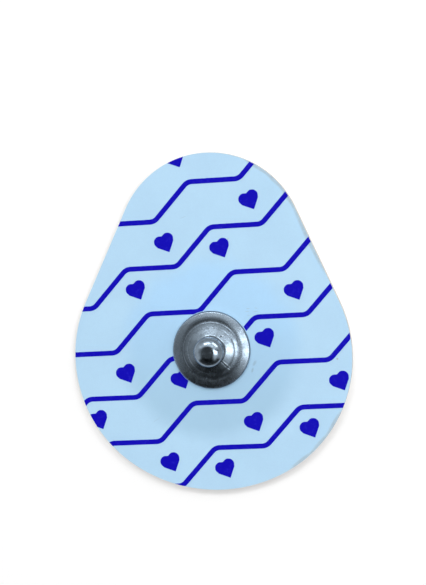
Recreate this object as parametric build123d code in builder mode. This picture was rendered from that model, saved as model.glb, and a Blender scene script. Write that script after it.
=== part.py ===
from build123d import *
from math import acos, atan2, ceil, degrees, hypot, sqrt
import os

# Snap ECG electrode, in millimetres. The stud's axis is Z, the skin is the plane Z = 0,
# and the narrow end of the teardrop pad points along +Y.

# Pad outline: tip arc, straight flanks, side arcs and a flatter heel arc
pad_width = 37.0          # across the widest level
tip_radius = 12.3         # arc of the narrow end
tip_distance = 14.6       # from the widest level to the centre of the tip arc
side_tightening = 1.1     # side arcs are tighter than half the width by this
heel_flattening = 1.0     # heel arc is flatter than half the width by this
stud_distance = 1.0       # from the widest level to the stud, towards the tip

# Layers, from the skin up
adhesive_thickness = 0.05
foam_thickness = 1.0
film_thickness = 0.1
ink_thickness = 0.03

# Gel well in the foam
well_diameter = 22.3
gel_clearance = 0.05      # round the gel, and between the gel and the sensor's rim

# Stud, one drawn sheet of metal, described from the head down to the rim
sheet_thickness = 0.22
head_diameter = 3.9
dome_radius = 1.1         # round shoulder of the head
head_band = 0.5           # cylindrical part of the head, which the lead's socket slides over
head_undercut = 0.25      # how far the neck stands back from the head
neck_length = 0.6
crown_width = 1.35
crown_fall = 0.3
ring_width = 0.5
ring_fall = 0.06
brim_width = 1.36
brim_fall = 0.16
step_width = 0.12         # the two pressed steps between crown, ring and brim
step_fall = 0.08
rim_height = 0.4          # turned-down edge that stands on the film
rim_radius = 0.22         # where the brim turns down

# Sensor, a disc with a post that is swaged inside the head
disc_diameter = 10.0
disc_thickness = 0.5
post_clearance = 0.03     # between the post and the inside of the stud
hole_clearance = 0.1      # between the post and the film

# Print: parallel wavy lines, with a small heart in every second hollow between two lines
stroke_width = 0.66
row_slope = 26.0          # degrees, rising to the right
row_pitch = 6.6
wave_length = 12.6
wave_height = 2.7         # from hollow to crest along the middle of the stroke
crest_radius = 1.4
heart_width = 2.8
lobe_sides = 8            # the round lobes of a heart are cut as polygons
print_shift = 0.8         # slides the rows along their own direction
print_clearance = 0.1     # bare ring between the ink and the stud's rim

# Heights of the layers
film_bottom = adhesive_thickness + foam_thickness
film_top = film_bottom + film_thickness
disc_bottom = film_bottom - disc_thickness

# Pad outline, worked out about the stud's axis
side_radius = pad_width / 2 - side_tightening
heel_radius = pad_width / 2 + heel_flattening
widest_y = -stud_distance
tip_y = widest_y + tip_distance
heel_rise = sqrt((heel_radius - side_radius) ** 2 - side_tightening**2)
heel_y = widest_y + heel_rise
heel_join = degrees(atan2(-heel_rise, side_tightening))
lean = acos((side_radius - tip_radius) / hypot(side_tightening, tip_distance))
flank_join = degrees(atan2(tip_distance, -side_tightening) - lean)
well_radius = well_diameter / 2

side_sweep = flank_join - heel_join

with BuildSketch() as pad_outline:
    with BuildLine():
        tip = CenterArc((0, tip_y), tip_radius, flank_join, 180 - 2 * flank_join)
        right_side = CenterArc((side_tightening, widest_y), side_radius, heel_join, side_sweep)
        left_side = CenterArc((-side_tightening, widest_y), side_radius, 180 - flank_join, side_sweep)
        CenterArc((0, heel_y), heel_radius, 180 - heel_join, 180 + 2 * heel_join)
        Line(right_side @ 1, tip @ 0)
        Line(tip @ 1, left_side @ 0)
    make_face()

# Stud radii, from the axis outwards
head_radius = head_diameter / 2
neck_radius = head_radius - head_undercut
crown_radius = neck_radius + crown_width
ring_inner = crown_radius + step_width
ring_outer = ring_inner + ring_width
brim_inner = ring_outer + step_width
flange_radius = brim_inner + brim_width

# Stud heights, from the film upwards
rim_top = film_top + rim_height
brim_top = rim_top + brim_fall
ring_foot = brim_top + step_fall
ring_top = ring_foot + ring_fall
crown_foot = ring_top + step_fall
crown_top = crown_foot + crown_fall
neck_top = crown_top + neck_length
head_bottom = neck_top + head_undercut
dome_foot = head_bottom + head_band
head_top = dome_foot + dome_radius

# Outside of the stud from the top of its axis to its rim: radius, height and rounding of each corner
stud_corners = [
    (0, head_top, 0),
    (head_radius, head_top, dome_radius),
    (head_radius, head_bottom, 0),
    (neck_radius, neck_top, 0),
    (neck_radius, crown_top, 0),
    (crown_radius, crown_foot, 0),
    (ring_inner, ring_top, 0),
    (ring_outer, ring_foot, 0),
    (brim_inner, brim_top, 0),
    (flange_radius, rim_top, rim_radius),
    (flange_radius, film_top, 0),
]


def inset(corners, depth):
    """The line moved inwards by depth, with a bevel where a rounding is deeper than that."""
    points = [Vector(radius, height) for radius, height, _ in corners]
    runs = [(end - start).normalized() for start, end in zip(points, points[1:])]
    befores = runs[:1] + runs
    afters = runs + runs[-1:]
    moved = []
    for point, before, after, (_, _, rounding) in zip(points, befores, afters, corners):
        bisector = Vector(before.Y + after.Y, -before.X - after.X) / (1 + before.dot(after))
        place = point + bisector * depth
        if rounding > depth:
            bevel = (rounding - depth) * sqrt(bisector.dot(bisector) - 1)
            moved += [place - before * bevel, place + after * bevel]
        else:
            moved.append(place)
    return moved


# Inside of the stud's sheet, and the post's shank and swaged end a clearance further in
sheet_inside = inset(stud_corners, sheet_thickness)
post_room = inset(stud_corners, sheet_thickness + post_clearance)
swage = post_room[3]
shank = post_room[4]

# The heart is a square on its corner with half a polygon on each upper side
heart_side = heart_width / (1 + sqrt(0.5))
lobe_spacing = heart_side * sqrt(0.5)

# Enough waves and rows to cross the whole pad in any direction
pad_length = tip_distance + tip_radius + heel_radius - heel_rise
pad_reach = hypot(pad_width, pad_length)
waves = ceil(pad_reach / wave_length) + 2
rows_each_way = ceil(pad_reach / 2 / row_pitch)
row_length = waves * wave_length

# Skin adhesive, a coat on the underside of the foam
with BuildPart() as skin_adhesive:
    with BuildSketch():
        add(pad_outline.sketch)
        Circle(well_radius, mode=Mode.SUBTRACT)
    extrude(amount=adhesive_thickness)

# Foam pad, die-cut to the outline with the gel well punched through
with BuildPart() as foam_pad:
    with BuildSketch(Plane.XY.offset(adhesive_thickness)):
        add(pad_outline.sketch)
        Circle(well_radius, mode=Mode.SUBTRACT)
    extrude(amount=foam_thickness)

# Cover film over the foam and the well, with a hole for the sensor's post
with BuildPart() as cover_film:
    with BuildSketch(Plane.XY.offset(film_bottom)):
        add(pad_outline.sketch)
        Circle(shank.X + hole_clearance, mode=Mode.SUBTRACT)
    extrude(amount=film_thickness)

# Sensor eyelet: disc under the film, shank through it, swaged end inside the stud's head
with BuildPart() as sensor_eyelet:
    with BuildSketch(Plane.XZ):
        with BuildLine():
            Polyline(
                (0, disc_bottom),
                (disc_diameter / 2, disc_bottom),
                (disc_diameter / 2, film_bottom),
                (shank.X, film_bottom),
                shank,
                swage,
                (swage.X, dome_foot),
                (0, dome_foot),
                close=True,
            )
        make_face()
    revolve(axis=Axis.Z)

# Gel cast in the well, round and below the sensor's disc
with BuildPart() as gel_disc:
    with BuildSketch():
        Circle(well_radius - gel_clearance)
    extrude(amount=film_bottom)
    with BuildSketch(Plane.XY.offset(disc_bottom)):
        Circle(disc_diameter / 2 + gel_clearance)
    extrude(amount=disc_thickness, mode=Mode.SUBTRACT)

# Snap stud: the section of the drawn sheet, between its outside and its inside, revolved
with BuildPart() as snap_stud:
    with BuildSketch(Plane.XZ):
        with BuildLine():
            outside = FilletPolyline(
                [(radius, height) for radius, height, _ in stud_corners],
                radius=[rounding for _, _, rounding in stud_corners[1:-1]],
            )
            inside = Polyline(sheet_inside)
            Line(outside @ 0, inside @ 0)
            Line(outside @ 1, inside @ 1)
        make_face()
    revolve(axis=Axis.Z)

# Print in ink on the film: one wavy line and one heart, repeated, cut off at the pad's edge and the stud
with BuildSketch() as wavy_line:
    with BuildLine():
        FilletPolyline(
            [(n * wave_length / 2, wave_height / 2 * (-1) ** n) for n in range(2 * waves + 1)],
            radius=crest_radius,
        )
        offset(amount=stroke_width / 2)
    make_face()

with BuildSketch() as heart:
    Rectangle(heart_side, heart_side, rotation=45)
    with Locations((-lobe_spacing / 2, lobe_spacing / 2), (lobe_spacing / 2, lobe_spacing / 2)):
        RegularPolygon(heart_side / 2, lobe_sides, rotation=45)

with BuildSketch() as print_rows:
    for row in range(-rows_each_way, rows_each_way + 1):
        line_start = print_shift - row_length / 2
        line_level = row * row_pitch
        with Locations((line_start, line_level)):
            add(wavy_line.sketch)
        swing = row % 2
        first_heart = line_start + wave_length * (1 + swing) / 2
        heart_level = line_level + row_pitch / 2 + wave_height * (swing - 0.5)
        with Locations([(first_heart + n * wave_length, heart_level) for n in range(waves)]):
            add(heart.sketch)

with BuildPart() as heart_wave_print:
    with BuildSketch(Plane.XY.offset(film_top)):
        add(print_rows.sketch, rotation=row_slope)
        add(pad_outline.sketch, mode=Mode.INTERSECT)
        Circle(flange_radius + print_clearance, mode=Mode.SUBTRACT)
    extrude(amount=ink_thickness)

# One file for each piece
pieces = {
    "skin_adhesive": skin_adhesive,
    "foam_pad": foam_pad,
    "cover_film": cover_film,
    "heart_wave_print": heart_wave_print,
    "sensor_eyelet": sensor_eyelet,
    "gel_disc": gel_disc,
    "snap_stud": snap_stud,
}
os.makedirs("parts", exist_ok=True)
for name, piece in pieces.items():
    piece.part.label = name
    export_step(piece.part, f"parts/{name}.step")
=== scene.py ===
from math import acos, atan2, cos, exp, hypot, pi, radians, sin, tan

import bmesh
import bpy
from mathutils import Matrix, Vector, noise


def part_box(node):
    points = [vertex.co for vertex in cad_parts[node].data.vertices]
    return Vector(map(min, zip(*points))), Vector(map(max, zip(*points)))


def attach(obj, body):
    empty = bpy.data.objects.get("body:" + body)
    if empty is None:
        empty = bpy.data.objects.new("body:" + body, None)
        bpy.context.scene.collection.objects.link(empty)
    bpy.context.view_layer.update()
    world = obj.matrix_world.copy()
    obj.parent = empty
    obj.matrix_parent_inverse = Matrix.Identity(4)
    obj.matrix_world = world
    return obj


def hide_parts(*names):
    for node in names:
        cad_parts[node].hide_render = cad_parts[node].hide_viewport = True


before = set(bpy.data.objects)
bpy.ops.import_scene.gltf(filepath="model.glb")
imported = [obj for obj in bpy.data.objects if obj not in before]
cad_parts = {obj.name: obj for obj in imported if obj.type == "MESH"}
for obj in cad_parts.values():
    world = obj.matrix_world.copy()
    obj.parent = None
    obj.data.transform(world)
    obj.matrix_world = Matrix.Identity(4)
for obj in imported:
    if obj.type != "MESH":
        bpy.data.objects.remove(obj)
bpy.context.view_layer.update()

# Foam pad: white closed-cell polyethylene foam, a millimetre thick.
# A knife cuts it to a teardrop with a round well for the gel, and leaves the cells
# along its edge cut open.
mm = 0.001
pad_width = 37.0 * mm
tip_radius = 12.3 * mm
tip_distance = 14.6 * mm
side_tightening = 1.1 * mm
heel_flattening = 1.0 * mm
stud_distance = 1.0 * mm
well_radius = 11.15 * mm
side_radius = pad_width / 2 - side_tightening
heel_radius = pad_width / 2 + heel_flattening
heel_lean = acos(side_tightening / (heel_radius - side_radius))
flank_lean = acos((side_radius - tip_radius) / hypot(side_tightening, tip_distance))
flank_angle = atan2(tip_distance, -side_tightening) - flank_lean
side_centre = Vector((side_tightening, -stud_distance, 0))
tip_centre = Vector((0, tip_distance - stud_distance, 0))
heel_centre = side_centre + (heel_radius - side_radius) * Vector((-cos(heel_lean), sin(heel_lean), 0))
up = Vector((0, 0, 1))
foam_low, foam_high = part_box("foam_pad")
foam_height = foam_high.z - foam_low.z
# The foam's colour is darkened from white as painted shade on its cut edge.
foam_white_shaded = (0.70, 0.67, 0.63, 1)
foam_shadow = (0.46, 0.43, 0.40, 1)
foam_cloud_size = 3 * mm
cell_size = 0.20 * mm
cell_depth = 0.035 * mm
cell_wall = 0.25
cell_relief = 0.02 * mm
wall_bulge = 0.03 * mm
wall_rows = 14
wall_spacing = 0.075 * mm
weld_distance = 0.0001 * mm


def on_circle(centre, radius, angle):
    """Point of a circle about an upright axis."""
    return centre + radius * Vector((cos(angle), sin(angle), 0))


def carry(bm, end, spacing, length, centre=(0, 0, 0), sweep=0, run=Vector((0, 0, 0))):
    """Carries a line on from its end, round an arc or along a straight run, to its new end."""
    steps = round(length / spacing)
    made = bmesh.ops.spin(
        bm, geom=[end], cent=centre, axis=up, dvec=run / steps, angle=-sweep, steps=steps
    )
    return next(v for v in made["geom_last"] if isinstance(v, bmesh.types.BMVert))


def teardrop(bm, level, spacing):
    """Closed line round the pad at that height, in an empty mesh, with points about that far apart."""
    tip_sweep = pi / 2 - flank_angle
    side_sweep = flank_angle + heel_lean
    heel_sweep = pi / 2 - heel_lean
    end = bm.verts.new((0, tip_centre.y + tip_radius, level))
    end = carry(bm, end, spacing, tip_radius * tip_sweep, tip_centre, tip_sweep)
    flank = on_circle(side_centre, side_radius, flank_angle) + level * up - end.co
    end = carry(bm, end, spacing, flank.length, run=flank)
    end = carry(bm, end, spacing, side_radius * side_sweep, side_centre, side_sweep)
    carry(bm, end, spacing, heel_radius * heel_sweep, heel_centre, heel_sweep)
    bmesh.ops.mirror(bm, geom=bm.verts[:] + bm.edges[:], axis="X", merge_dist=spacing / 100)
    return bm.edges[:]


def raised(bm, line, height, rows):
    """Wall drawn up or down from a line, and the line along its far edge."""
    lift = height / rows * up
    made = bmesh.ops.spin(bm, geom=line, cent=(0, 0, 0), axis=up, dvec=lift, angle=0, steps=rows)
    return [e for e in made["geom_last"] if isinstance(e, bmesh.types.BMEdge)]


def drawn_in(bm, line, radius, share=0.0):
    """Flat face from a line towards a circle, and its inner line, which keeps that share of the way."""
    made = bmesh.ops.extrude_edge_only(bm, edges=line)["geom"]
    for v in made:
        if isinstance(v, bmesh.types.BMVert):
            reach = v.co.xy.length
            v.co.xy *= (radius + (reach - radius) * share) / reach
    return [e for e in made if isinstance(e, bmesh.types.BMEdge) and e.is_boundary]


class Shade:
    """A number, colour or vector on its way through a material. Sums on numbers add Math nodes."""

    def __init__(self, tree, socket=None):
        self.tree = tree
        self.socket = socket

    def feed(self, sockets, name, value):
        """Sets a plain value on a socket, or links a Shade to it."""
        socket = next(s for s in sockets if name in (s.identifier, s.name))
        if isinstance(value, Shade):
            self.tree.links.new(value.socket, socket)
        else:
            socket.default_value = value

    def node(self, kind, settings=None, sockets=None, out=None):
        """Adds a node: its settings first, then its sockets, and hands back one output."""
        made = self.tree.nodes.new("ShaderNode" + kind)
        for name, value in (settings or {}).items():
            setattr(made, name, value)
        for name, value in (sockets or {}).items():
            self.feed(made.inputs, name, value)
        outputs = [s for s in made.outputs if out in (None, s.identifier, s.name)]
        return Shade(self.tree, outputs[0])

    def sum(self, operation, first, second=0.0):
        """Sum on one or two numbers."""
        return self.node("Math", {"operation": operation}, {"Value": first, "Value_001": second})

    def __add__(self, other):
        return self.sum("ADD", self, other)

    def __sub__(self, other):
        return self.sum("SUBTRACT", self, other)

    def __rsub__(self, other):
        return self.sum("SUBTRACT", other, self)

    def __mul__(self, other):
        return self.sum("MULTIPLY", self, other)

    def __abs__(self):
        return self.sum("ABSOLUTE", self)

    __radd__ = __add__
    __rmul__ = __mul__

    def vector(self, operation, other=(0, 0, 0), out="Vector"):
        """Sum on one or two vectors."""
        sockets = {"Vector": self, "Vector_001": other}
        return self.node("VectorMath", {"operation": operation}, sockets, out)

    def rise(self, low, high):
        """Smooth step from 0 at low to 1 at high."""
        ends = {"Value": self, "From Min": low, "From Max": high}
        return self.node("MapRange", {"interpolation_type": "SMOOTHSTEP"}, ends)

    def between(self, start, end):
        """Colour that goes from start to end as the number goes from 0 to 1."""
        ends = {"Factor_Float": self, "A_Color": start, "B_Color": end}
        return self.node("Mix", {"data_type": "RGBA"}, ends, "Result_Color")

    def noise(self, size, detail=2.0, roughness=0.5, dimensions="3D"):
        """Noise with features of about that size, on a place or along a number."""
        if dimensions == "1D":
            sockets = {"W": self, "Scale": 1 / size}
        else:
            sockets = {"Vector": self, "Scale": 1 / size}
        sockets |= {"Detail": detail, "Roughness": roughness}
        return self.node("TexNoise", {"noise_dimensions": dimensions}, sockets)

    def bump(self, depth, under=None):
        """Normal of a relief that is this deep where the number is 1."""
        sockets = {"Height": self, "Distance": depth}
        if under is not None:
            sockets["Normal"] = under
        return self.node("Bump", None, sockets)


def finish(name, **constants):
    """New material with its plain values set, its shader's sockets and its place on the piece."""
    material = bpy.data.materials.new(name)
    material.use_nodes = True
    tree = material.node_tree
    shader = tree.nodes["Principled BSDF"]
    for socket, value in constants.items():
        shader.inputs[socket.replace("_", " ")].default_value = value
    place = Shade(tree).node("TexCoord", out="Object")
    return material, shader.inputs, place


def new_piece(name, bm, material, node, crease):
    """Makes a mesh into a piece that stands for its solid and rides with the electrode."""
    bmesh.ops.remove_doubles(bm, verts=bm.verts, dist=weld_distance)
    bmesh.ops.recalc_face_normals(bm, faces=bm.faces)
    mesh = bpy.data.meshes.new(name)
    bm.to_mesh(mesh)
    bm.free()
    mesh.shade_smooth()
    mesh.set_sharp_from_angle(angle=radians(crease))
    mesh.materials.append(material)
    made = bpy.data.objects.new(name, mesh)
    bpy.context.scene.collection.objects.link(made)
    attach(made, "root")
    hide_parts(node)
    return made


foam, foam_sockets, place = finish("closed_cell_foam", Roughness=0.85)
cell_sockets = {"Vector": place, "Scale": 1 / cell_size}
cells = place.node("TexVoronoi", {"feature": "DISTANCE_TO_EDGE"}, cell_sockets, "Distance")
open_cell = cells.rise(0.02, 0.3)
cloud = place.noise(foam_cloud_size, detail=3.0)
# Open cells are darkened as painted shade in their pits, and a cloudy tone varies besides.
shadow = open_cell * 0.35 + cloud * 0.3
place.feed(foam_sockets, "Base Color", shadow.between(foam_white_shaded, foam_shadow))
place.feed(foam_sockets, "Normal", (1 - open_cell).bump(cell_relief))

bm = bmesh.new()
foot = teardrop(bm, foam_low.z, wall_spacing)
brow = raised(bm, foot, foam_height, wall_rows)
bmesh.ops.recalc_face_normals(bm, faces=bm.faces)
bm.normal_update()
for v in bm.verts:
    share = (v.co.z - foam_low.z) / foam_height
    swell = 4 * share * (1 - share)
    near, next_near = noise.voronoi(v.co / cell_size)[0][:2]
    pit = min((next_near - near) / cell_wall, 1)
    v.co += v.normal * swell * (wall_bulge - cell_depth * pit)
well_brow = drawn_in(bm, brow, well_radius)
raised(bm, well_brow, -foam_height, rows=2)
drawn_in(bm, foot, well_radius)
foam_piece = new_piece("foam_teardrop", bm, foam, "foam_pad", crease=50)

# Skin adhesive: a clear, tacky acrylic coat on the underside of the foam.
# It is rolled on before the pad is cut, so it ends at the same edge and at the well.
adhesive_colour = (0.80, 0.79, 0.73, 1)
adhesive_thick = (0.70, 0.68, 0.60, 1)
roller_size = 1.6 * mm
roller_relief = 0.02 * mm

adhesive, adhesive_sockets, place = finish("tacky_acrylic", Coat_Weight=0.6, Coat_Roughness=0.12)
roller = place.noise(roller_size, detail=4.0)
thick = roller.rise(0.35, 0.7)
place.feed(adhesive_sockets, "Base Color", thick.between(adhesive_colour, adhesive_thick))
place.feed(adhesive_sockets, "Roughness", roller * 0.25 + 0.18)
place.feed(adhesive_sockets, "Normal", roller.bump(roller_relief))
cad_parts["skin_adhesive"].material_slots[0].material = adhesive

# Cover film: pale blue satin polyethylene, a tenth of a millimetre thick, laminated to the foam.
# Over the gel nothing stiff lies below it, so there it sinks a little and the gel tints it.
# Handling has left smears and specks on it, and its edge is greyer along one side.
film_low, film_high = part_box("cover_film")
stud_low, stud_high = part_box("snap_stud")
film_blue = (0.470, 0.712, 0.916, 1)
# Two gel tints, a lit one and a shaded one, for painted light across the pad.
gel_tint_painted_lit = (0.435, 0.710, 0.980, 1)
gel_tint_painted_shade = (0.378, 0.602, 0.785, 1)
film_shade = (0.30, 0.48, 0.68, 1)
film_scuff = (0.36, 0.52, 0.66, 1)
film_edge_grey = (0.37, 0.48, 0.57, 1)
film_grime = (0.22, 0.30, 0.38, 1)
film_speck = (0.36, 0.34, 0.31, 1)
film_cloud_size = 5 * mm
fleck_size = 0.6 * mm
grain_size = 0.16 * mm
film_relief = 0.006 * mm
tint_full = 10.0 * mm
tint_end = 13.2 * mm
tint_waver = 1.6 * mm
waver_size = 4 * mm
painted_light_reach = 9 * mm
grey_band_length = 3.0
grey_band_width = 0.6
post_hole = 1.55 * mm
rim_radius = stud_high.x
sink_depth = 0.10 * mm
sink_start = 0.08
ripple_height = 0.03 * mm
ripple_size = 9 * mm
film_spacing = 0.5 * mm
film_rings = 12
sink_rings = 20


def film_rise(x, y):
    """How far the film stands above its flat level."""
    reach = (hypot(x, y) - rim_radius) / (well_radius - rim_radius)
    if reach < 0:
        return 0
    sink = max(1 - reach, 0) * (1 - exp(-reach / sink_start))
    ripple = noise.noise(Vector((x, y, 0)) / ripple_size) * min(reach, 1)
    return ripple_height * ripple - sink_depth * sink


def mark(place, x, y, length, width, turn=0):
    """Soft mark of that half length and half width in millimetres: 1 at its middle, 0 around it."""
    sockets = {"Vector": place, "Location": (x * mm, y * mm, 0), "Rotation": (0, 0, radians(turn))}
    sockets["Scale"] = (length * mm, width * mm, 1)
    across = place.node("Mapping", {"vector_type": "TEXTURE"}, sockets)
    return 1 - across.vector("LENGTH", out="Value").rise(0.3, 1.0)


def marks(place, table):
    """Several such marks together."""
    together = mark(place, *table[0])
    for values in table[1:]:
        together = together + mark(place, *values)
    return together


film, film_sockets, place = finish("satin_film", IOR=1.5)
radius = place.vector("MULTIPLY", (1, 1, 0)).vector("LENGTH", out="Value")
waver = place.noise(waver_size) - 0.5
over_gel = 1 - (radius + waver * tint_waver).rise(tint_full, tint_end)
cloud = place.noise(film_cloud_size, detail=3.0).rise(0.3, 0.7)
fleck = place.noise(fleck_size, detail=3.0, roughness=0.6)
grain = place.noise(grain_size)
grime = marks(place, ((5.65, -1.75, 0.55, 0.26, 60), (5.35, -2.7, 0.45, 0.20, 70)))
specks = marks(place, ((16.55, -1.15, 0.19, 0.17), (-9.2, 8.3, 0.15, 0.12), (2.4, 14.6, 0.11, 0.1)))
scuffs = marks(
    place,
    (
        (4.9, 5.45, 0.35, 0.08, 4),
        (5.95, 5.5, 0.3, 0.07, -6),
        (4.8, 5.05, 0.4, 0.07, 8),
        (5.9, 5.05, 0.45, 0.08, 2),
        (4.95, 4.55, 0.3, 0.07, -4),
        (-7.6, -9.4, 0.9, 0.04, 35),
        (11.8, 9.0, 0.8, 0.04, -50),
        (-3.5, 17.5, 0.7, 0.04, 20),
    ),
)
# Greyer bands run along the pad's edge on its right side.
grey_edge_bands = [(13.1, 14.5, 7.0, grey_band_width, -65)]
for centre, bend, turns in (
    (tip_centre, tip_radius, (32, 45, 58)),
    (side_centre, side_radius, (-52, -41, -30)),
):
    for turn in turns:
        spot = on_circle(centre, bend, radians(turn)) / mm
        grey_edge_bands.append((spot.x, spot.y, grey_band_length, grey_band_width, turn + 90))
grey_edge = marks(place, grey_edge_bands).rise(0, 1) * (0.3 + fleck)
# Over the gel the colour is painted lighter towards the tip and darker towards the wide end, as painted
# light and shade.
painted_light_towards_tip = place.node("SeparateXYZ", None, {"Vector": place}, "Y").rise(-painted_light_reach, painted_light_reach)
clean = over_gel.between(film_blue, painted_light_towards_tip.between(gel_tint_painted_shade, gel_tint_painted_lit))
clouded = (cloud * 0.12 + fleck * 0.12 + grain * 0.22 - 0.12).between(clean, film_shade)
scuffed = (scuffs * 0.6).between(clouded, film_scuff)
greyed = (grey_edge * 0.85).between(scuffed, film_edge_grey)
soiled = (grime * fleck * 0.8).between(greyed, film_grime)
dulling = cloud * 0.06 + grain * 0.08 + scuffs * 0.15 + grey_edge * 0.1
place.feed(film_sockets, "Base Color", (specks * 0.7).between(soiled, film_speck))
place.feed(film_sockets, "Roughness", 0.40 + dulling)
place.feed(film_sockets, "Normal", (grain * 0.5 + cloud - scuffs * 0.8).bump(film_relief))

bm = bmesh.new()
line = teardrop(bm, film_high.z, film_spacing)
for ring in range(film_rings, 0, -1):
    line = drawn_in(bm, line, well_radius, (ring - 1) / ring)
for ring in range(sink_rings - 1, -1, -1):
    line = drawn_in(bm, line, rim_radius + (well_radius - rim_radius) * ring / sink_rings)
drawn_in(bm, line, post_hole)
for v in bm.verts:
    v.co.z += film_rise(v.co.x, v.co.y)
under = bmesh.ops.extrude_face_region(bm, geom=bm.faces[:], use_keep_orig=True)["geom"]
under = [v for v in under if isinstance(v, bmesh.types.BMVert)]
bmesh.ops.translate(bm, verts=under, vec=(film_low.z - film_high.z) * up)
new_piece("film_sheet", bm, film, "cover_film", crease=50)

# Print: deep blue ink, printed on the film as wavy lines with small hearts between them.
# It lies on the film, follows its hollows, and is cut off with it at the pad's edge.
ink_low, ink_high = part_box("heart_wave_print")
ink_height = ink_high.z - ink_low.z
ink_blue = (0.004, 0.001, 0.450, 1)
ink_worn = (0.014, 0.010, 0.510, 1)
mottle_size = 0.5 * mm
ink_relief = 0.003 * mm
flat_bend = radians(1)
lobe_bend = radians(45)
lobe_slack = radians(5)
lobe_rounding = 0.22 * mm
ink_weld = 0.001 * mm
ink_cell = 0.6 * mm

ink, ink_sockets, place = finish("printing_ink", Specular_IOR_Level=0.08)
mottle = place.noise(mottle_size, detail=4.0, roughness=0.6)
place.feed(ink_sockets, "Base Color", mottle.rise(0.5, 0.8).between(ink_blue, ink_worn))
place.feed(ink_sockets, "Roughness", mottle * 0.2 + 0.36)
place.feed(ink_sockets, "Normal", mottle.bump(ink_relief))

bm = bmesh.new()
bm.from_mesh(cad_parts["heart_wave_print"].data)
bmesh.ops.remove_doubles(bm, verts=bm.verts, dist=ink_weld)
bmesh.ops.dissolve_limit(bm, angle_limit=flat_bend, verts=bm.verts, edges=bm.edges)
bm.normal_update()
upright = [e for e in bm.edges if abs(e.verts[0].co.z - e.verts[1].co.z) > ink_height / 2]
lobes = [e for e in upright if abs(e.calc_face_angle_signed(0) - lobe_bend) < lobe_slack]
bmesh.ops.bevel(
    bm, geom=lobes, offset=lobe_rounding, segments=4, profile=0.5, affect="EDGES", material=-1
)
for axis in (0, 1):
    normal = Vector((0, 0, 0))
    normal[axis] = 1
    step = ink_low[axis] + ink_cell
    while step < ink_high[axis]:
        everything = bm.verts[:] + bm.edges[:] + bm.faces[:]
        bmesh.ops.bisect_plane(
            bm, geom=everything, dist=weld_distance, plane_co=normal * step, plane_no=normal
        )
        step += ink_cell
for v in bm.verts:
    v.co.z += film_rise(v.co.x, v.co.y)
new_piece("heart_wave_ink", bm, ink, "heart_wave_print", crease=40)

# Sensor eyelet: a moulded plastic disc and post with a grey silver and silver-chloride coat.
# The disc lies in the gel under the film, and the post is swaged inside the stud.
silver_grey = (0.42, 0.42, 0.41, 1)
chloride_brown = (0.27, 0.25, 0.24, 1)
crystal_size = 0.12 * mm
crystal_relief = 0.01 * mm
patch_size = 1.5 * mm

sensor, sensor_sockets, place = finish("silver_chloride", Metallic=0.35)
crystals = place.noise(crystal_size, detail=4.0, roughness=0.65)
patches = place.noise(patch_size, detail=3.0)
browned = patches * 0.7 + crystals * 0.3
place.feed(sensor_sockets, "Base Color", browned.between(silver_grey, chloride_brown))
place.feed(sensor_sockets, "Roughness", crystals * 0.3 + 0.42)
place.feed(sensor_sockets, "Normal", crystals.bump(crystal_relief))
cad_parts["sensor_eyelet"].material_slots[0].material = sensor

# Snap stud: one sheet of brass, drawn to a hollow head on a stepped flange, and nickel-plated.
# It stands on the film and is held by the sensor's post, swaged inside its head. The tool leaves
# fine rings round it, and handling has dulled and marked it.
sheet_thickness = 0.22 * mm
head_radius = 1.95 * mm
neck_radius = 1.70 * mm
crown_radius = 3.05 * mm
ring_inner = 3.17 * mm
ring_outer = 3.67 * mm
brim_inner = 3.79 * mm
shelf_width = 0.35 * mm
shelf_fall = 0.012 * mm
rim_height = 0.40 * mm
brim_fall = 0.16 * mm
step_fall = 0.08 * mm
ring_fall = 0.06 * mm
crown_fall = 0.30 * mm
neck_length = 0.60 * mm
head_undercut = head_radius - neck_radius
dome_corner = 1.423 * mm
shoulder_fall = 0.630 * mm
dome_rounding = 1.56 * mm
shoulder_rounding = 0.18 * mm
head_rounding = 0.25 * mm
neck_rounding = 0.15 * mm
foot_rounding = 0.55 * mm
edge_rounding = 0.25 * mm
hollow_rounding = 0.08 * mm
shelf_rounding = 2.0 * mm
rounding_pitch = 0.03 * mm
rim_top = stud_low.z + rim_height
brim_top = rim_top + brim_fall
ring_foot = brim_top + step_fall
ring_top = ring_foot + ring_fall
crown_foot = ring_top + step_fall
crown_top = crown_foot + crown_fall
neck_top = crown_top + neck_length
stud_corners = (
    (0, stud_high.z, 0),
    (dome_corner, stud_high.z, dome_rounding),
    (head_radius, stud_high.z - shoulder_fall, shoulder_rounding),
    (head_radius, neck_top + head_undercut, head_rounding),
    (neck_radius, neck_top, neck_rounding),
    (neck_radius, crown_top, foot_rounding),
    (crown_radius, crown_foot, edge_rounding),
    (ring_inner, ring_top, hollow_rounding),
    (ring_outer, ring_foot, edge_rounding),
    (brim_inner, brim_top, hollow_rounding),
    (brim_inner + shelf_width, brim_top - shelf_fall, shelf_rounding),
    (rim_radius, rim_top, edge_rounding),
    (rim_radius, stud_low.z, 0),
)
stud_segments = 240
# The nickel colours are tinted blue as a painted reflection of the blue surroundings.
nickel_blue_reflection = (0.295, 0.372, 0.450, 1)
dull_nickel_blue_reflection = (0.190, 0.240, 0.292, 1)
dark_nickel_blue_reflection = (0.084, 0.105, 0.130, 1)
bare_nickel_blue_reflection = (0.52, 0.60, 0.68, 1)
tool_pitch = 0.045 * mm
grit_size = 0.07 * mm
stain_size = 0.9 * mm
streak_size = 0.12 * mm
streak_ring = 3.5 * mm
polish_fade = 0.5 * mm
fine_relief = 0.004 * mm
nick_depth = 0.06 * mm


def shade_ring(radius, start, full, fading, end):
    """Ring of painted shade round the stud, between radii in millimetres, with soft edges."""
    return radius.rise(start * mm, full * mm) - radius.rise(fading * mm, end * mm)


def drawn_profile(bm, points):
    """Line through points given by their distance from the axis and their height."""
    line = [bm.verts.new((out, 0, level)) for out, level in points]
    for pair in zip(line, line[1:]):
        bm.edges.new(pair)
    return line


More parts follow.
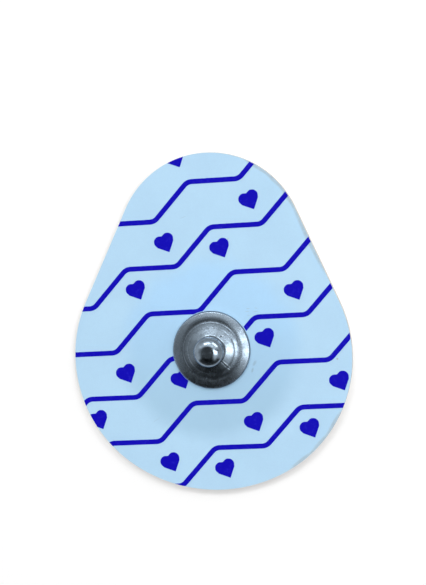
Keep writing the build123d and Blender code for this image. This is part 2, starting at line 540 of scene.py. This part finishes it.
def round_corner(bm, corner, setback, segments):
    """Rounds a corner of the profile, from that far before it to that far past it."""
    bmesh.ops.bevel(
        bm, geom=[corner], offset=setback, segments=segments, profile=0.5, affect="VERTICES", material=-1
    )


def turned(bm, segments):
    """Turns the profile once round the upright axis."""
    profile = bm.verts[:] + bm.edges[:]
    bmesh.ops.spin(
        bm, geom=profile, cent=(0, 0, 0), axis=up, angle=2 * pi, steps=segments, use_merge=True
    )


metal, metal_sockets, place = finish(
    "nickel_plate", Metallic=1.0, Anisotropic=0.5, Anisotropic_Rotation=0.25
)
flat = place.vector("MULTIPLY", (1, 1, 0))
radius = flat.vector("LENGTH", out="Value")
height = place.node("SeparateXYZ", None, {"Vector": place}, "Z")
tool_rings = (radius + height * 0.8).noise(tool_pitch, detail=3.0, roughness=0.6, dimensions="1D")
grit = place.noise(grit_size, detail=3.0, roughness=0.6)
stain = place.noise(stain_size, detail=5.0, roughness=0.65)
outward = flat.vector("NORMALIZE")
around = outward.vector("MULTIPLY", (streak_ring, streak_ring, 0))
along = place.node("CombineXYZ", None, {"Z": radius * 0.25})
streaks = around.vector("ADD", along).noise(streak_size, detail=3.0, roughness=0.6)
dull = (stain * 0.6 + streaks * 0.25 + grit * 0.15).rise(0.42, 0.64)
polish = height.rise(neck_top, neck_top + polish_fade)
scratch = mark(place, 1.95, -1.97, 0.85, 0.15, -45)
lips = marks(place, ((2.06, -1.84, 0.75, 0.10, -45), (1.62, 1.92, 0.16, 0.13, 30)))
nicks = marks(
    place,
    (
        (1.36, 1.85, 0.2, 0.12, 30),
        (-0.32, 2.9, 0.1, 0.1),
        (-0.64, -3.67, 0.16, 0.08),
        (3.0, 2.6, 0.1, 0.06),
    ),
)
# Painted shade darkens the two steps, the rim's edge and the neck under the head. Painted dark
# reflections darken the head's shoulder and a band of the brim on the far side.
inner_step_shade = shade_ring(radius, 2.85, 2.98, 3.14, 3.28)
outer_step_shade = shade_ring(radius, 3.46, 3.60, 3.84, 3.98)
brim_dark_reflection = shade_ring(radius, 3.85, 4.0, 4.3, 4.6)
far_side = outward.vector("DOT_PRODUCT", (-0.1, 0.995, 0), "Value").rise(0.6, 0.95)
rim_edge_shade = radius.rise(4.98 * mm, 5.12 * mm)
on_head = height.rise(neck_top, neck_top + head_undercut)
neck_shadow = (1 - radius.rise(1.93 * mm, 2.03 * mm)) * (1 - on_head)
shoulder_dark_reflection = radius.rise(1.40 * mm, 1.75 * mm) * on_head
painted_shade = inner_step_shade * 0.4 + outer_step_shade * 0.6 + rim_edge_shade * 0.5 + neck_shadow * 0.85 + shoulder_dark_reflection * 0.35
painted_shade = painted_shade + brim_dark_reflection * far_side * (0.4 + stain * 0.6)
worn = (lips * 0.6).between(dull.between(nickel_blue_reflection, dull_nickel_blue_reflection), bare_nickel_blue_reflection)
fine = (tool_rings * 0.6 + grit * 0.4).bump(fine_relief)
# The base colour darkens towards dark nickel with the painted shade, the scratch and the nicks.
place.feed(metal_sockets, "Base Color", (painted_shade + scratch + nicks * 0.6).between(worn, dark_nickel_blue_reflection))
place.feed(metal_sockets, "Roughness", 0.20 + dull * 0.10 + grit * 0.05 - polish * 0.09)
place.feed(metal_sockets, "Normal", (lips * 0.5 - scratch - nicks).bump(nick_depth, fine))

bm = bmesh.new()
corners = drawn_profile(bm, [(out, level) for out, level, _ in stud_corners])
for corner, (_, _, rounding) in zip(corners, stud_corners):
    if rounding:
        before, after = [(corner.co - e.other_vert(corner).co).normalized() for e in corner.link_edges]
        setback = rounding / tan(before.angle(after) / 2)
        round_corner(bm, corner, setback, segments=max(3, round(rounding / rounding_pitch)))
turned(bm, stud_segments)
stud_piece = new_piece("stud_shell", bm, metal, "snap_stud", crease=60)
sheet = stud_piece.modifiers.new("sheet_thickness", "SOLIDIFY")
sheet.thickness = sheet_thickness
sheet.offset = -1

# Gel disc: clear, wet hydrogel cast in the well of the foam, round and below the sensor's disc.
# Its top follows the film down, and its underside is level with the adhesive.
gel_low, gel_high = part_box("gel_disc")
gel_colour = (0.60, 0.74, 0.84, 1)
gel_milky = (0.70, 0.80, 0.86, 1)
milk_size = 2.5 * mm
gel_relief = 0.03 * mm
disc_radius = 5.05 * mm
disc_bottom = 0.55 * mm
gel_edge = 0.2 * mm
film_gap = 0.005 * mm
gel_segments = 240

gel, gel_sockets, place = finish("hydrogel", IOR=1.37, Transmission_Weight=0.5)
milk = place.noise(milk_size, detail=3.0)
place.feed(gel_sockets, "Base Color", milk.rise(0.35, 0.7).between(gel_colour, gel_milky))
place.feed(gel_sockets, "Roughness", milk * 0.1 + 0.06)
place.feed(gel_sockets, "Normal", milk.bump(gel_relief))

gel_line = [(0, gel_low.z), (gel_high.x, gel_low.z)]
for step in range(sink_rings):
    out = gel_high.x + (disc_radius - gel_high.x) * step / (sink_rings - 1)
    gel_line.append((out, gel_high.z - film_gap + min(film_rise(out, 0), 0)))
gel_line += [(disc_radius, disc_bottom), (0, disc_bottom)]
bm = bmesh.new()
section = drawn_profile(bm, gel_line)
round_corner(bm, section[1], gel_edge, segments=5)
turned(bm, gel_segments)
new_piece("gel_cast", bm, gel, "gel_disc", crease=40)

# Table and light: a white table under a soft light tent, with one long panel over the right side,
# two panels beyond the narrow end, and the tent's open front towards the wide end. From below the
# table is clear, and it lets light through right under the pad, so that the underside is lit.
table_white = (0.93, 0.93, 0.93, 1)
table_pale = (0.92, 0.92, 0.92, 1)
table_size = 1.5
table_gap = 0.02 * mm
cloth_size = 30 * mm
unseen = (0, 0, 0, 1)
near_lift = (0.08, 0.08, 0.08, 1)
far_lift = (0.70, 0.70, 0.70, 1)
tent_foot = 1.0
tent_wall = 0.72
tent_roof = 0.09
roof_left = 0.28
roof_back = 1.0
roof_right = 0.85
roof_corner = 0.7
open_front = 0.95

table, table_sockets, place = finish("white_table", Roughness=0.6, Emission_Strength=1.0)
cloth = place.noise(cloth_size)
place.feed(table_sockets, "Base Color", cloth.between(table_white, table_pale))
seen = place.node("LightPath", out="Is Camera Ray")
for ray in ("Is Glossy Ray", "Is Transmission Ray"):
    seen = seen + place.node("LightPath", out=ray)
far = place.vector("LENGTH", out="Value").rise(0.1, 0.7)
place.feed(table_sockets, "Emission Color", seen.between(unseen, far.between(near_lift, far_lift)))
below = place.node("NewGeometry", out="Backfacing")
touching = 1 - place.node("LightPath", out="Ray Length").rise(5 * table_gap, 15 * table_gap)
table_nodes = table.node_tree.nodes
top = Shade(table.node_tree, table_nodes["Principled BSDF"].outputs["BSDF"])
layers = {"Fac": below + touching, "Shader": top, "Shader_001": place.node("BsdfTransparent")}
place.feed(table_nodes["Material Output"].inputs, "Surface", place.node("MixShader", None, layers))

bm = bmesh.new()
bmesh.ops.create_grid(bm, x_segments=1, y_segments=1, size=table_size)
bmesh.ops.translate(bm, verts=bm.verts, vec=-table_gap * up)
mesh = bpy.data.meshes.new("table")
bm.to_mesh(mesh)
bm.free()
mesh.materials.append(table)
floor = bpy.data.objects.new("table", mesh)
bpy.context.scene.collection.objects.link(floor)

world = bpy.data.worlds.new("light_tent")
world.use_nodes = True
bpy.context.scene.world = world
sky = Shade(world.node_tree)
direction = sky.node("TexCoord", out="Generated")
east, north, height = [sky.node("SeparateXYZ", None, {"Vector": direction}, axis) for axis in "XYZ"]
skirt = 1 - height.rise(0.12, 0.25)
roof = height.rise(0.5, 0.8)
left = (0 - east).rise(0.25, 0.55)
back = north.rise(0.08, 0.30)
side_flaps = (abs(east) + north * 0.9).rise(0.05, 0.35)
front = (0 - north).rise(0.06, 0.3) * (1 - skirt) * (1 - side_flaps)
right_flap = (east + north * 0.5).rise(-0.17, 0.08) * (0 - north).rise(0.08, 0.22) * roof
corner = (east + north).rise(0.1, 0.35) * height.rise(0.85, 0.93)
roof_level = tent_roof + roof_left * left + roof_back * back
roof_level = roof_level + roof_right * right_flap + roof_corner * corner
tent = tent_wall + roof * (roof_level - tent_wall)
level = tent * (1 - front * (1 - right_flap) * open_front) + skirt * (tent_foot - tent_wall)
grey = sky.node("CombineColor", None, {"Red": level, "Green": level, "Blue": level})
sky.feed(world.node_tree.nodes["Background"].inputs, "Color", grey)

for name, spot, size, power in (
    ("side_panel", Vector((0.21, -0.05, 0.555)), (0.155, 0.35), 0.82),
    ("far_panel", Vector((-0.11, 0.36, 0.49)), (0.30, 0.10), 0.68),
    ("corner_panel", Vector((0.26, 0.335, 0.42)), (0.32, 0.10), 0.52),
):
    light = bpy.data.lights.new(name, "AREA")
    light.shape = "RECTANGLE"
    light.size, light.size_y = size
    light.energy = power
    panel = bpy.data.objects.new(name, light)
    panel.location = spot
    panel.rotation_euler = spot.to_track_quat("Z", "Y").to_euler()
    bpy.context.scene.collection.objects.link(panel)

# Camera: held nearly straight above the pad, a hand's length away.
# It stands a little to the right of the stud and towards the tip, and aims at the pad's middle.
camera_distance = 220 * mm
camera_lean = radians(10.8)
camera_side = radians(28)
camera_roll = radians(1.03)
aim = Vector((0.10, 7.47, 0)) * mm
frame_height = 77.25 * mm

towards_camera = Vector(
    (sin(camera_lean) * cos(camera_side), sin(camera_lean) * sin(camera_side), cos(camera_lean))
)
across = Vector((0, 1, 0)).cross(towards_camera).normalized()
axes = Matrix((across, towards_camera.cross(across), towards_camera)).transposed()
axes = axes @ Matrix.Rotation(-camera_roll, 3, "Z")
lens = bpy.data.cameras.new("camera")
lens.lens = lens.sensor_width * camera_distance / frame_height
lens.clip_start = 0.01
camera = bpy.data.objects.new("camera", lens)
camera.matrix_world = Matrix.Translation(aim + towards_camera * camera_distance) @ axes.to_4x4()
bpy.context.scene.collection.objects.link(camera)
bpy.context.scene.camera = camera
bpy.context.scene.view_settings.view_transform = "Standard"
